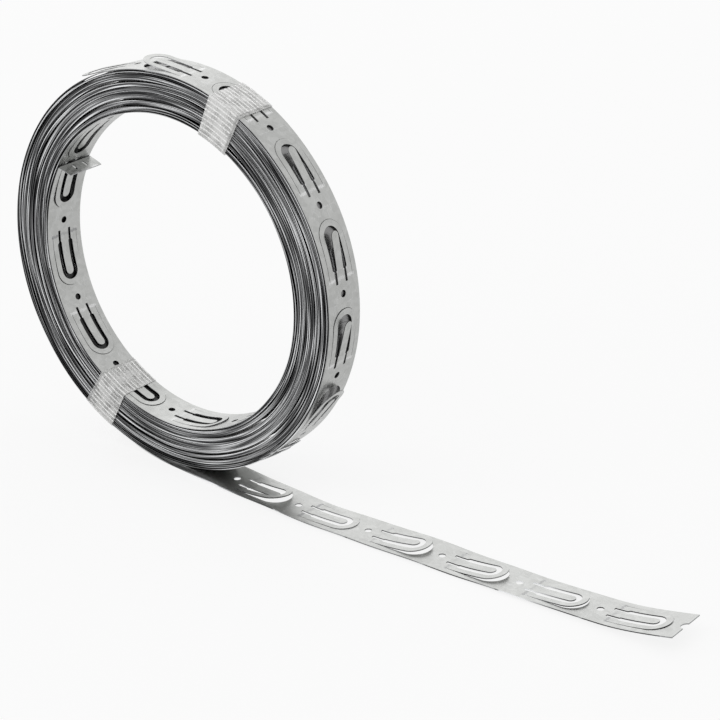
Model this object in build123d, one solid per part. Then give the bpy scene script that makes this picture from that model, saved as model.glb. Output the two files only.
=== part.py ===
"""A perforated steel mounting strap: a coil standing on its rim with its outer end drawn out flat,
held by two bands of adhesive tape. Millimetres; Y is the coil's axis, Z is up and X is the drawn-out end's
direction. The origin is the middle of the whole part on the floor."""

import math
import os

from build123d import *

# Strap stock
STRAP_WIDTH = 20.0
STRAP_THICKNESS = 0.5
HOLE_PITCH = 37.5
HOLE_DIAMETER = 3.1

# Stamped unit, along the strap from its fixing hole
SLOT_ROOT = 4.5
CREASE = 6.7
NECK_END = 10.0
ROUND_CENTRE = 24.0
NECK_OFFSET = 3.05
NECK_WIDTH = 1.3
SLOT_HALF_WIDTH = 4.45
TONGUE_HALF_WIDTH = 2.05
LOOP_HALF_WIDTH = 7.1
LOOP_CUT = 0.3
ROOT_LAP = 0.4

# Coil
COIL_INNER_RADIUS = 69.5
COIL_TURNS = 38
COIL_OUTER_RADIUS = COIL_INNER_RADIUS + COIL_TURNS * STRAP_THICKNESS
END_LANDS = 6
END_STEP = 0.7
POCKET_SIDES = 4
LOOP_SIDES = 8
CUT_OVERRUN = 3.0

# Outer turn, angles up from the drawn-out end's direction
OUTER_FIRST_HOLE = -67.4
OUTER_UNITS = 13
STANDING_UNITS = (0, 1, 6, 7)

# Inner turn and its bent-in end
INNER_FIRST_HOLE = 173.4
INNER_UNITS = 11
INNER_END_ANGLE = 149.5
INNER_END_TILT = -15.0
INNER_END_LENGTH = 7.0
INNER_END_SLOT = (1.5, 5.0)

# Tape bands, by the angles of their middles
TAPE_WIDTH = 18.0
TAPE_THICKNESS = 0.3
TAPE_CLEARANCE = 0.03
UPPER_TAPE_MIDDLE = 65.3
LOWER_TAPE_MIDDLE = 239.4
TAPE_HALF_ANGLE = math.degrees(TAPE_WIDTH / 2 / COIL_OUTER_RADIUS)

# Drawn-out end
TAIL_FIRST_HOLE = 32.7
TAIL_UNITS = 6
TAIL_LEAVE_GAP = 1.0
TAIL_LEAVE_ANGLE = LOWER_TAPE_MIDDLE + TAPE_HALF_ANGLE + math.degrees(TAIL_LEAVE_GAP / COIL_OUTER_RADIUS)
TAIL_SIDE_SHIFT = -11.6
TAIL_SHIFT_START = COIL_OUTER_RADIUS * math.cos(math.radians(TAIL_LEAVE_ANGLE))
TAIL_SHIFT_LENGTH = 126.0
TAIL_SHIFT_END = TAIL_SHIFT_START + TAIL_SHIFT_LENGTH
TAIL_FLAT_END = 204.0
TAIL_CURL_RADIUS = 247.0
TAIL_LOOP_RISE = (2.5, 0.0, 2.0, 1.8, 0.9, 0.2)

COIL_AXIS = Axis((0, 0, 0), (0, -1, 0))


def rounded_plate(half_profile, end_radius, sides=None):
    """A flat outline with straight sides from half_profile and a round free end, or one of so many sides."""
    centre = ROUND_CENTRE
    first = half_profile[0]
    upper = Polyline(*half_profile, (centre, end_radius))
    if sides:
        turns = [math.pi / 2 - math.pi * k / sides for k in range(sides + 1)]
        end = Polyline(*[(centre + end_radius * math.cos(t), end_radius * math.sin(t)) for t in turns])
    else:
        end = ThreePointArc((centre, end_radius), (centre + end_radius, 0), (centre, -end_radius))
    lower = Polyline((centre, -end_radius), *[(u, -v) for u, v in reversed(half_profile)])
    base = Line((first[0], -first[1]), first)
    return make_face(upper + end + lower + base)


def tongue_outline(start):
    """The tongue between the two slot necks."""
    neck = NECK_OFFSET - NECK_WIDTH / 2
    flare = NECK_END + neck - TONGUE_HALF_WIDTH
    return rounded_plate([(start, neck), (NECK_END, neck), (flare, TONGUE_HALF_WIDTH)], TONGUE_HALF_WIDTH)


def slot_outline(sides=None):
    """The outer edge of the U-shaped slot: two necks that flare to the wide part."""
    neck = NECK_OFFSET + NECK_WIDTH / 2
    flare = NECK_END + SLOT_HALF_WIDTH - neck
    return rounded_plate([(SLOT_ROOT, neck), (NECK_END, neck), (flare, SLOT_HALF_WIDTH)], SLOT_HALF_WIDTH, sides)


def slot_face():
    """The U-shaped slot itself."""
    return slot_outline() - tongue_outline(SLOT_ROOT - 1)


def turn_slot_face():
    """The U-shaped slot as it shows on the coil's turns, with few sides and no flare at its necks."""
    outer = rounded_plate([(SLOT_ROOT, SLOT_HALF_WIDTH)], SLOT_HALF_WIDTH, POCKET_SIDES)
    return outer - rounded_plate([(SLOT_ROOT - 1, TONGUE_HALF_WIDTH)], TONGUE_HALF_WIDTH, POCKET_SIDES - 1)


def loop_outline(start, half_width):
    """The outer edge of the loop that can be bent up about its crease."""
    return rounded_plate([(start, half_width)], half_width, LOOP_SIDES)


def loop_band():
    """The loop as a flat band round the slot, lapping its root by a little."""
    return loop_outline(CREASE - ROOT_LAP, LOOP_HALF_WIDTH) - slot_outline(LOOP_SIDES)


def loop_gap():
    """The opening a bent-up loop leaves, with the tongue still in it."""
    return loop_outline(CREASE, LOOP_HALF_WIDTH + LOOP_CUT) - tongue_outline(SLOT_ROOT - 1)


def turn_pocket(radius_in, radius_out):
    """A fixing hole and its slot cut through one turn, with the unit's middle at angle zero."""
    middle = (SLOT_ROOT + ROUND_CENTRE + SLOT_HALF_WIDTH) / 2
    middle_angle = math.degrees(middle / ((radius_in + radius_out) / 2))
    low = radius_in - CUT_OVERRUN
    reach = radius_out + CUT_OVERRUN - low
    slot_plane = Plane(origin=(low, 0, 0), x_dir=(0, 0, 1), z_dir=(1, 0, 0))
    slot = extrude(slot_plane * Pos(-middle, 0) * turn_slot_face(), reach)
    hole = extrude(slot_plane * RegularPolygon(HOLE_DIAMETER / 2, 6, rotation=30), reach)
    hole = hole.rotate(COIL_AXIS, -middle_angle)
    shell = Cylinder(radius_out, STRAP_WIDTH) - Cylinder(radius_in, STRAP_WIDTH)
    return (slot + hole) & (Rot(90, 0, 0) * shell), middle_angle


def end_depth(land):
    """How far one land of the coil's face lies in from the strap's edge."""
    return END_STEP * (0.5 - 0.5 * math.cos(2.4 * land))


def coil_section():
    """Half the coil's section: the turns show as lands at different depths on both faces."""
    land = (COIL_OUTER_RADIUS - COIL_INNER_RADIUS) / END_LANDS
    near = []
    far = []
    for index in range(END_LANDS):
        start = COIL_INNER_RADIUS + index * land
        near += [(start, end_depth(index) - STRAP_WIDTH / 2), (start + land, end_depth(index) - STRAP_WIDTH / 2)]
        far += [(start, STRAP_WIDTH / 2 - end_depth(index)), (start + land, STRAP_WIDTH / 2 - end_depth(index))]
    return make_face(Polyline(*near, *reversed(far), close=True))


def raised_loops():
    """The outer turn's loops that stay straight and stand off the coil."""
    floor_radius = COIL_OUTER_RADIUS - STRAP_THICKNESS
    plane = Plane(origin=(floor_radius, 0, 0), x_dir=(0, 0, 1), z_dir=(1, 0, 0))
    loop = extrude(plane * Pos(-CREASE, 0) * loop_band(), STRAP_THICKNESS)
    crease_angle = math.degrees(CREASE / COIL_OUTER_RADIUS)
    pitch = math.degrees(HOLE_PITCH / COIL_OUTER_RADIUS)
    loops = []
    for index in range(OUTER_UNITS):
        if index in STANDING_UNITS:
            loops.append(loop.rotate(COIL_AXIS, OUTER_FIRST_HOLE + index * pitch + crease_angle))
    return loops


def coil():
    """The turned coil with the perforations of its outermost and innermost turns."""
    ring = revolve(coil_section(), Axis.Y)
    pocket, middle = turn_pocket(COIL_OUTER_RADIUS - STRAP_THICKNESS, COIL_OUTER_RADIUS + CUT_OVERRUN)
    pitch = math.degrees(HOLE_PITCH / COIL_OUTER_RADIUS)
    cuts = [pocket.rotate(COIL_AXIS, OUTER_FIRST_HOLE + k * pitch + middle) for k in range(OUTER_UNITS)]
    pocket, middle = turn_pocket(COIL_INNER_RADIUS - CUT_OVERRUN, COIL_INNER_RADIUS + STRAP_THICKNESS)
    pitch = math.degrees(HOLE_PITCH / COIL_INNER_RADIUS)
    cuts += [pocket.rotate(COIL_AXIS, INNER_FIRST_HOLE + k * pitch + middle) for k in range(INNER_UNITS)]
    return ring - cuts


def inner_end():
    """The strap's inner end, bent in across its full width, with the two slot necks it was cut through."""
    angle = math.radians(INNER_END_ANGLE)
    start = COIL_INNER_RADIUS + STRAP_THICKNESS
    origin = (start * math.cos(angle), 0, start * math.sin(angle))
    tilt = math.radians(INNER_END_TILT)
    plane = Plane(origin=origin, x_dir=(math.cos(tilt), 0, math.sin(tilt)), z_dir=(-math.sin(tilt), 0, math.cos(tilt)))
    width = STRAP_WIDTH - 1.0
    plate = Pos(INNER_END_LENGTH / 2, 0) * Rectangle(INNER_END_LENGTH, width)
    slot_length = INNER_END_SLOT[1] - INNER_END_SLOT[0]
    slot = Pos((INNER_END_SLOT[0] + INNER_END_SLOT[1]) / 2, 0) * Rectangle(slot_length, NECK_WIDTH)
    plate -= Pos(0, NECK_OFFSET) * slot
    plate -= Pos(0, -NECK_OFFSET) * slot
    return extrude(plane * plate, STRAP_THICKNESS)


def side_shift(x):
    """How far the drawn-out end's centre line has moved sideways at x."""
    run = min(max((x - TAIL_SHIFT_START) / TAIL_SHIFT_LENGTH, 0.0), 1.0)
    return TAIL_SIDE_SHIFT * run * run * (3 - 2 * run)


def heading(x):
    """The direction of that centre line at x, in degrees."""
    return math.degrees(math.atan2(side_shift(x + 0.5) - side_shift(x - 0.5), 1.0))


def tail_plan(end_x):
    """The drawn-out end seen from above."""
    half = STRAP_WIDTH / 2
    stations = [TAIL_SHIFT_START + TAIL_SHIFT_LENGTH * k / 6 for k in range(7)]
    near = Spline(*[(x, side_shift(x) - half) for x in stations], tangents=[(1, 0), (1, 0)])
    far = Spline(*[(x, side_shift(x) + half) for x in stations], tangents=[(1, 0), (1, 0)])
    low = TAIL_SIDE_SHIFT - half
    high = TAIL_SIDE_SHIFT + half
    ends = Polyline((TAIL_SHIFT_END, low), (end_x, low), (end_x, high), (TAIL_SHIFT_END, high))
    back = TAIL_SHIFT_START - CUT_OVERRUN
    start = Polyline((TAIL_SHIFT_START, half), (back, half), (back, -half), (TAIL_SHIFT_START, -half))
    return make_face(near + ends + far + start)


def curl_rise(x):
    """How far the last stretch has curled up off the floor at x."""
    run = max(x - TAIL_FLAT_END, 0.0)
    return TAIL_CURL_RADIUS - math.sqrt(TAIL_CURL_RADIUS**2 - run**2)


def tail_sheet(end_x):
    """The turn's last stretch, the flat run after it and the curled-up end, before any stamping."""
    outer = COIL_OUTER_RADIUS
    inner = outer - STRAP_THICKNESS
    angle = math.radians(TAIL_LEAVE_ANGLE)
    middle = math.radians((TAIL_LEAVE_ANGLE + 270.0) / 2)
    start_out = (outer * math.cos(angle), outer * math.sin(angle))
    start_in = (inner * math.cos(angle), inner * math.sin(angle))
    lower = ThreePointArc(start_out, (outer * math.cos(middle), outer * math.sin(middle)), (0, -outer))
    upper = ThreePointArc((0, -inner), (inner * math.cos(middle), inner * math.sin(middle)), start_in)
    far = end_x + CUT_OVERRUN
    half_way = (TAIL_FLAT_END + far) / 2
    curl_low = [(x, curl_rise(x) - outer) for x in (TAIL_FLAT_END, half_way, far)]
    curl_high = [(x, curl_rise(x) - inner) for x in (far, half_way, TAIL_FLAT_END)]
    profile = make_face(
        lower
        + Line((0, -outer), curl_low[0])
        + ThreePointArc(*curl_low)
        + Line(curl_low[-1], curl_high[0])
        + ThreePointArc(*curl_high)
        + Line(curl_high[-1], (0, -inner))
        + upper
        + Line(start_in, start_out)
    )
    side = Plane(origin=(0, 3 * STRAP_WIDTH, 0), x_dir=(1, 0, 0), z_dir=(0, -1, 0))
    sheet = extrude(side * profile, 6 * STRAP_WIDTH)
    plan = extrude(Pos(0, 0, -outer - CUT_OVERRUN) * tail_plan(end_x), STRAP_WIDTH + curl_rise(end_x))
    return sheet & plan


def tail():
    """The drawn-out end with its holes, slots and bent-up loops, cut off through a hole."""
    end_x = TAIL_FIRST_HOLE + TAIL_UNITS * HOLE_PITCH
    bottom = -COIL_OUTER_RADIUS
    through = curl_rise(end_x) + STRAP_THICKNESS + 2 * CUT_OVERRUN
    cuts = []
    loops = []
    for index in range(TAIL_UNITS + 1):
        x = TAIL_FIRST_HOLE + index * HOLE_PITCH
        cuts.append(extrude(Pos(x, side_shift(x), bottom - CUT_OVERRUN) * Circle(HOLE_DIAMETER / 2), through))
        if index == TAIL_UNITS:
            break
        middle_x = x + (CREASE + ROUND_CENTRE) / 2
        turn = heading(middle_x)
        place = Pos(middle_x, side_shift(middle_x), bottom) * Rot(0, 0, turn) * Pos(x - middle_x, 0, 0)
        rise = TAIL_LOOP_RISE[index]
        if rise > STRAP_THICKNESS:
            opening = loop_gap() + slot_face()
            slope = math.asin(rise / (ROUND_CENTRE + LOOP_HALF_WIDTH - CREASE))
            band = extrude(Pos(-CREASE, 0, -STRAP_THICKNESS / 2) * loop_band(), STRAP_THICKNESS)
            lift = STRAP_THICKNESS / 2 + 1.1 * ROOT_LAP * math.sin(slope)
            loops.append(place * Pos(CREASE, 0, lift) * Rot(0, -math.degrees(slope), 0) * band)
        else:
            cut_line = loop_outline(CREASE, LOOP_HALF_WIDTH + LOOP_CUT) - loop_outline(CREASE, LOOP_HALF_WIDTH)
            opening = slot_face() + cut_line
        cuts.append(place * extrude(Pos(0, 0, -CUT_OVERRUN) * opening, through))
    return tail_sheet(end_x) - cuts + loops


def tape_band(first, last):
    """One band of tape wrapped right round the coil's section."""
    gap = TAPE_CLEARANCE
    half = STRAP_WIDTH / 2
    middle = (COIL_INNER_RADIUS + COIL_OUTER_RADIUS) / 2
    depth = COIL_OUTER_RADIUS - COIL_INNER_RADIUS
    outline = Rectangle(depth + 2 * (gap + TAPE_THICKNESS), 2 * (half + gap + TAPE_THICKNESS))
    outline -= Rectangle(depth + 2 * gap, 2 * (half + gap))
    band = revolve(Pos(middle, 0) * outline, Axis.Y, last - first)
    return band.rotate(COIL_AXIS, last)


def build():
    """Make every solid and write each to its own file."""
    strap = coil() + raised_loops() + inner_end() + tail()
    box = strap.bounding_box()
    shift = Pos(-box.center().X, -box.center().Y, COIL_OUTER_RADIUS)
    nodes = {"strap": strap}
    for name, middle in (("upper_tape_band", UPPER_TAPE_MIDDLE), ("lower_tape_band", LOWER_TAPE_MIDDLE)):
        nodes[name] = tape_band(middle - TAPE_HALF_ANGLE, middle + TAPE_HALF_ANGLE)
    os.makedirs("parts", exist_ok=True)
    for name, shape in nodes.items():
        placed = shift * shape
        solids = placed.solids()
        print(name, len(solids), [round(s.volume, 1) for s in solids], placed.bounding_box())
        export_step(placed if len(solids) > 1 else solids[0], f"parts/{name}.step")
    print("shift", shift.position)


if __name__ == "__main__":
    build()
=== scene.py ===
"""A coil of perforated steel mounting strap standing on its rim, its outer end drawn out along the floor.

Sizes are millimetres, measured on the strap itself and in the coil's own axes. The coil's centre is zero, Y is
its axis, Z is up and X runs towards the drawn-out end. Meshes are written in metres in the part's own frame.
"""

import logging
import math
from collections.abc import Callable
from dataclasses import dataclass, field
from enum import Enum

import bmesh
import bpy
import numpy as np
from mathutils import Matrix, Vector
from mathutils.geometry import delaunay_2d_cdt


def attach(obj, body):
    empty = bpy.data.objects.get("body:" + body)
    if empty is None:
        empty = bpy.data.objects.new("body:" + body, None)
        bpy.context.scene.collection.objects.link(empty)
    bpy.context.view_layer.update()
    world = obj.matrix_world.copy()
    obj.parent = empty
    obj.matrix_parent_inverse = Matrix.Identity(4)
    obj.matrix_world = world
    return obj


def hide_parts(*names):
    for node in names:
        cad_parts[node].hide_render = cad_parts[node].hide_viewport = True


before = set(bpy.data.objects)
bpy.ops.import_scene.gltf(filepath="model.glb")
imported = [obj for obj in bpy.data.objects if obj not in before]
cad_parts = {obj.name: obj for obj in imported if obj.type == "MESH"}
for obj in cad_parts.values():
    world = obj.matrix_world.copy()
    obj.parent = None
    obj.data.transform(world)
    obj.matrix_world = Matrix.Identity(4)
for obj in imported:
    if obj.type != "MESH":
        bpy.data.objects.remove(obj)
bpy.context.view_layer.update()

Point2 = tuple[float, float]
Point3 = tuple[float, float, float]
Edge = tuple[int, int]
Face = tuple[int, ...]
Place = Callable[[float, float, float], Vector]
Section = tuple[list[Vector], float, float]
Fed = dict[str | int, object]

LOG = logging.getLogger("strap_coil")
METRE = 0.001
INNER_RADIUS = 69.5
OUTER_RADIUS = 88.5
COIL_CENTRE = Vector((-84.6, 5.8, OUTER_RADIUS))
WOUND_HALF_WIDTH = 9.5
RIB_PITCH = 2.15
WHITE = (1.0, 1.0, 1.0)

# A bending radius that counts as flat, and a distance that counts as none.
FLAT = 1e6
TOUCHING = 1e-3

# The vectors kept at every vertex, and the station given to strap that belongs to no unit.
STRAP_PLACE = "strap_place"
UNIT_PLACE = "unit_place"
NO_UNIT = -100.0

# What most of a noise lies within.
NOISE_RANGE = (0.3, 0.7)


def to_frame(point: Vector) -> Vector:
    """A point of the coil's own axes, in metres in the part's frame."""
    return (point + COIL_CENTRE) * METRE


def smooth(value: float) -> float:
    """Zero up to 0, one from 1, and in between a rise with level ends."""
    run = min(max(value, 0.0), 1.0)
    return run * run * (3 - 2 * run)


def on_circle(radius: float, turn: float) -> Point2:
    """A point of a circle round zero."""
    return radius * math.cos(turn), radius * math.sin(turn)


def opaque(colour: object) -> object:
    """A plain colour with an alpha of one; a socket stays as it is."""
    return (*colour, 1.0) if isinstance(colour, tuple) else colour


def new_mesh(
    name: str, points: list[Vector], faces: list[Face], places: dict[str, list[Point3]]
) -> bpy.types.Mesh:
    """A mesh with its vertices moved to the part's frame.

    Args:
        name: the mesh's name.
        points: its vertices, in the coil's axes.
        faces: its faces.
        places: the vectors kept at its vertices, by name.

    Returns:
        The mesh.
    """
    mesh = bpy.data.meshes.new(name)
    mesh.from_pydata([to_frame(p) for p in points], [], faces)
    for title, values in places.items():
        attribute = mesh.attributes.new(title, "FLOAT_VECTOR", "POINT")
        attribute.data.foreach_set("vector", [x for value in values for x in value])
    return mesh


def link_object(name: str, data: bpy.types.ID) -> bpy.types.Object:
    """A new object in the scene that holds the data."""
    made = bpy.data.objects.new(name, data)
    bpy.context.scene.collection.objects.link(made)
    return made


class Region(Enum):
    """The parts of a stamped unit that can move apart."""

    SHEET = 0
    LOOP = 1
    TONGUE = 2
    OPEN = 3


class Side(Enum):
    """Material slots of the strap's mesh."""

    FACE = 0
    EDGE = 1


class Outline(Enum):
    """The lines that a unit is stamped along."""

    TONGUE = "tongue"
    SLOT = "slot"
    LOOP = "loop"
    CUT = "cut"


ROUND_SIDES = {Outline.TONGUE: 10, Outline.SLOT: 14, Outline.LOOP: 18, Outline.CUT: 18}


@dataclass(frozen=True)
class FlatMesh:
    """A flat stretch of strap, with what the strap is at each face."""

    points: list[Point2]
    faces: list[Face]
    regions: list[Region]

    def free_edges(self) -> list[Edge]:
        """The edges with sheet on one side only.

        Returns:
            The edges, each in the direction of its face.
        """
        seen: dict[Edge, None] = {}
        for face in self.faces:
            for a, b in zip(face, face[1:] + face[:1]):
                if (b, a) in seen:
                    del seen[b, a]
                else:
                    seen[a, b] = None
        return list(seen)

    def rim(self, closed: tuple[bool, bool]) -> list[Edge]:
        """The free edges that get a narrow face, which leaves out where the strap goes on.

        Args:
            closed: whether the strap stops at the mesh's start and at its end.

        Returns:
            The edges.
        """
        along = [u for u, _ in self.points]
        joints = [at for at, shut in zip((min(along), max(along)), closed) if not shut]
        return [edge for edge in self.free_edges() if not any(self.lies_on(edge, at) for at in joints)]

    def lies_on(self, edge: Edge, station: float) -> bool:
        """Whether an edge runs across the strap at a station."""
        return all(abs(self.points[i][0] - station) < TOUCHING for i in edge)


@dataclass
class FlatSheet:
    """Gathers the outlines of a flat stretch of strap and fills them with faces."""

    points: list[Point2] = field(default_factory=list)
    edges: list[Edge] = field(default_factory=list)

    def add_ring(self, line: list[Point2]) -> None:
        """Add a closed outline.

        Args:
            line: its points in order.
        """
        first = len(self.points)
        self.points += line
        self.edges += [(first + k, first + (k + 1) % len(line)) for k in range(len(line))]

    def filled(self, region_at: Callable[[float, float], Region]) -> FlatMesh:
        """Fill the outlines.

        Args:
            region_at: what the strap is at a point.

        Returns:
            The flat mesh, without the faces that are open.
        """
        found = delaunay_2d_cdt([Vector(p) for p in self.points], self.edges, [], 0, 1e-4, False)
        flat = [(p.x, p.y) for p in found[0]]
        faces: list[Face] = []
        regions: list[Region] = []
        for face in found[2]:
            u = sum(flat[i][0] for i in face) / len(face)
            v = sum(flat[i][1] for i in face) / len(face)
            region = region_at(u, v)
            if region is not Region.OPEN:
                faces.append(tuple(face))
                regions.append(region)
        return FlatMesh(flat, faces, regions)


@dataclass(frozen=True)
class StampedUnit:
    """One repeat of the perforation, measured along the strap from its fixing hole.

    step is the longest edge along its outlines, and inner_lines are where its faces have spare points across it.
    """

    pitch: float = 37.5
    half_width: float = 10.0
    lead: float = 3.05
    hole_radius: float = 1.55
    hole_sides: int = 20
    hole_margin: float = 2.6
    slot_root: float = 4.5
    crease: float = 6.7
    neck_end: float = 10.0
    round_centre: float = 24.0
    neck_inner: float = 2.4
    neck_outer: float = 3.7
    slot_half_width: float = 4.45
    tongue_half_width: float = 2.05
    loop_half_width: float = 7.1
    loop_cut: float = 0.18
    step: float = 2.35
    inner_lines: tuple[float, ...] = (-8.7, -5.0, 0.0, 5.0, 8.7)

    @property
    def loop_length(self) -> float:
        """From the crease to the loop's free end."""
        return self.round_centre + self.loop_half_width - self.crease

    def half_profile(self, outline: Outline) -> list[Point2]:
        """The straight side of one outline, up to its round end.

        Args:
            outline: which outline.

        Returns:
            Points with their distance from the centre line.
        """
        if outline is Outline.TONGUE:
            return self.necked(self.neck_inner, self.tongue_half_width)
        if outline is Outline.SLOT:
            return self.necked(self.neck_outer, self.slot_half_width)
        return [(self.crease, self.loop_half_width + (self.loop_cut if outline is Outline.CUT else 0.0))]

    def necked(self, neck: float, half: float) -> list[Point2]:
        """A side that follows the slot's neck and then slants to its own width."""
        slant_end = self.neck_end + abs(half - neck)
        return [(self.slot_root, neck), (self.neck_end, neck), (slant_end, half)]

    def ring(self, outline: Outline) -> list[Point2]:
        """One outline as a closed ring of points.

        Args:
            outline: which outline.

        Returns:
            The ring's points.
        """
        profile = self.half_profile(outline)
        radius = profile[-1][1]
        upper = self.divided([*profile, (self.round_centre, radius)])
        sides = ROUND_SIDES[outline]
        turns = [math.pi / 2 - math.pi * k / sides for k in range(1, sides)]
        end = [(self.round_centre + u, v) for u, v in (on_circle(radius, t) for t in turns)]
        return upper + end + [(u, -v) for u, v in reversed(upper)]

    def divided(self, points: list[Point2]) -> list[Point2]:
        """Divide a line so that no two of its points are further apart than one step.

        Args:
            points: the line's points.

        Returns:
            The same line with more points.
        """
        made = [points[0]]
        for (u0, v0), (u1, v1) in zip(points, points[1:]):
            count = max(1, math.ceil(math.hypot(u1 - u0, v1 - v0) / self.step))
            made += [(u0 + (u1 - u0) * k / count, v0 + (v1 - v0) * k / count) for k in range(1, count + 1)]
        return made

    def inside(self, outline: Outline, u: float, v: float) -> bool:
        """Whether a point lies inside one of the outlines.

        Args:
            outline: which outline.
            u: distance from the fixing hole.
            v: distance from the centre line.

        Returns:
            Whether it does.
        """
        profile = self.half_profile(outline)
        radius = profile[-1][1]
        if u < profile[0][0]:
            return False
        if u > self.round_centre:
            return math.hypot(u - self.round_centre, v) < radius
        half = profile[0][1] if u < self.neck_end and len(profile) > 1 else radius
        return abs(v) < half

    def region_at(self, u: float, v: float) -> Region:
        """What the strap is at one point of the unit.

        Args:
            u: distance from the fixing hole.
            v: distance from the centre line.

        Returns:
            The region there.
        """
        if math.hypot(u, v) < self.hole_radius:
            return Region.OPEN
        if self.inside(Outline.SLOT, u, v):
            return Region.TONGUE if self.inside(Outline.TONGUE, u, v) else Region.OPEN
        if self.inside(Outline.LOOP, u, v):
            return Region.LOOP
        return Region.OPEN if self.inside(Outline.CUT, u, v) else Region.SHEET

    def is_clear(self, u: float, v: float) -> bool:
        """Whether a spare point can stand here, off the openings and the hole's rim."""
        return self.region_at(u, v) is not Region.OPEN and math.hypot(u, v) > self.hole_margin

    def across(self) -> list[float]:
        """Evenly spaced places across the strap."""
        return [self.half_width * k / 4 for k in range(-4, 5)]

    def layout(self, start: float, end: float, stamped: bool = True) -> FlatMesh:
        """The flat mesh between two stations of the unit.

        Args:
            start: where the mesh begins, along the strap from the hole.
            end: where it ends.
            stamped: whether the hole, slot and loop are cut.

        Returns:
            The flat mesh.
        """
        sheet = FlatSheet()
        across = self.across()
        count = round((end - start) / self.step)
        along = [start + (end - start) * k / count for k in range(1, count)]
        border = [(start, v) for v in across] + [(u, self.half_width) for u in along]
        border += [(end, v) for v in reversed(across)] + [(u, -self.half_width) for u in reversed(along)]
        sheet.add_ring(border)
        if not stamped:
            sheet.points += [(u, v) for u in along for v in across[1:-1]]
            return sheet.filled(lambda u, v: Region.SHEET)
        if start < -self.hole_radius:
            turns = [math.tau * k / self.hole_sides for k in range(self.hole_sides)]
            sheet.add_ring([on_circle(self.hole_radius, t) for t in turns])
        for outline in Outline:
            sheet.add_ring([(min(max(u, start), end), v) for u, v in self.ring(outline)])
        sheet.points += [(u, v) for u in along for v in self.inner_lines if self.is_clear(u, v)]
        return sheet.filled(self.region_at)


@dataclass(frozen=True)
class LoopSet:
    """How far a unit's loop and tongue are bent out of the strap.

    straight is the share of the strap's own curve that the loop keeps out of, rise lifts its free end and roll
    lifts one side of it. tongue is that share for the tongue, dip lifts its free end and lean moves it sideways.
    crease is how strong the painted highlight along the loop's root crease is, below zero for painted shade
    there.
    """

    straight: float = 0.0
    rise: float = 0.0
    roll: float = 0.0
    tongue: float = 0.0
    dip: float = 0.0
    lean: float = 0.0
    crease: float = 0.5


class NodeSheet:
    """A short way to write a node tree."""

    def __init__(self, tree: bpy.types.NodeTree) -> None:
        """Work on one tree."""
        self.tree = tree

    def feed(self, socket: bpy.types.NodeSocket, value: object) -> None:
        """Link an output to an input, or give the input a plain value.

        Args:
            socket: the input.
            value: what it gets.
        """
        if isinstance(value, bpy.types.NodeSocket):
            self.tree.links.new(value, socket)
        else:
            socket.default_value = value

    def add(self, kind: str, fed: Fed | None = None, **settings: object) -> bpy.types.Node:
        """Add a node.

        Args:
            kind: the node's type name.
            fed: what each input gets, by its name or number: an output socket, or a plain value.
            settings: properties of the node.

        Returns:
            The node.
        """
        node = self.tree.nodes.new(kind)
        for key, value in settings.items():
            setattr(node, key, value)
        for key, value in (fed or {}).items():
            self.feed(node.inputs[key], value)
        return node

    def math(self, operation: str, a: object, b: object = 0.0) -> bpy.types.NodeSocket:
        """The output of one sum."""
        return self.add("ShaderNodeMath", {0: a, 1: b}, operation=operation).outputs[0]

    def plus(self, a: object, b: object) -> bpy.types.NodeSocket:
        """Two values added."""
        return self.math("ADD", a, b)

    def times(self, a: object, b: object) -> bpy.types.NodeSocket:
        """Two values multiplied."""
        return self.math("MULTIPLY", a, b)

    def most(self, a: object, b: object) -> bpy.types.NodeSocket:
        """The larger of two values."""
        return self.math("MAXIMUM", a, b)

    def apart(self, a: object, b: object) -> bpy.types.NodeSocket:
        """How far two values lie apart."""
        return self.math("ABSOLUTE", self.math("SUBTRACT", a, b))

    def under(self, value: object, limit: float) -> bpy.types.NodeSocket:
        """One below a limit, zero above it."""
        return self.math("LESS_THAN", value, limit)

    def within(self, value: object, low: float, high: float) -> bpy.types.NodeSocket:
        """One between two limits, zero outside them."""
        return self.times(self.math("GREATER_THAN", value, low), self.under(value, high))

    def lessened(self, mask: object, share: float) -> bpy.types.NodeSocket:
        """One, less a share of a mask."""
        return self.math("SUBTRACT", 1.0, self.times(mask, share))

    def weighted(self, *parts: tuple[object, float]) -> bpy.types.NodeSocket:
        """Values added up, each by its weight.

        Args:
            parts: each value with its weight.

        Returns:
            The sum.
        """
        total = None
        for value, weight in parts:
            part = self.times(value, weight)
            total = part if total is None else self.plus(total, part)
        return total

    def span(self, value: object, taken: Point2, given: Point2 = (0.0, 1.0)) -> bpy.types.NodeSocket:
        """A value moved from one range to another and held there."""
        fed = dict(zip(("Value", "From Min", "From Max", "To Min", "To Max"), (value, *taken, *given)))
        return self.add("ShaderNodeMapRange", fed, clamp=True).outputs[0]

    def mix(self, share: object, a: object, b: object) -> bpy.types.NodeSocket:
        """Two colours mixed by a share."""
        return self.add("ShaderNodeMix", {0: share, 6: opaque(a), 7: opaque(b)}, data_type="RGBA").outputs[2]

    def vector(self, operation: str, a: object, b: object) -> bpy.types.NodeSocket:
        """The output of one vector sum."""
        return self.add("ShaderNodeVectorMath", {0: a, 1: b}, operation=operation).outputs[0]

    def parts(self, vector: object) -> list[bpy.types.NodeSocket]:
        """A vector's X, Y and Z."""
        return list(self.add("ShaderNodeSeparateXYZ", {"Vector": vector}).outputs)

    def noise(self, at: object, scale: float, detail: float) -> bpy.types.NodeSocket:
        """Cloudy noise."""
        return self.add("ShaderNodeTexNoise", {"Vector": at, "Scale": scale, "Detail": detail}).outputs[0]


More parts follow.
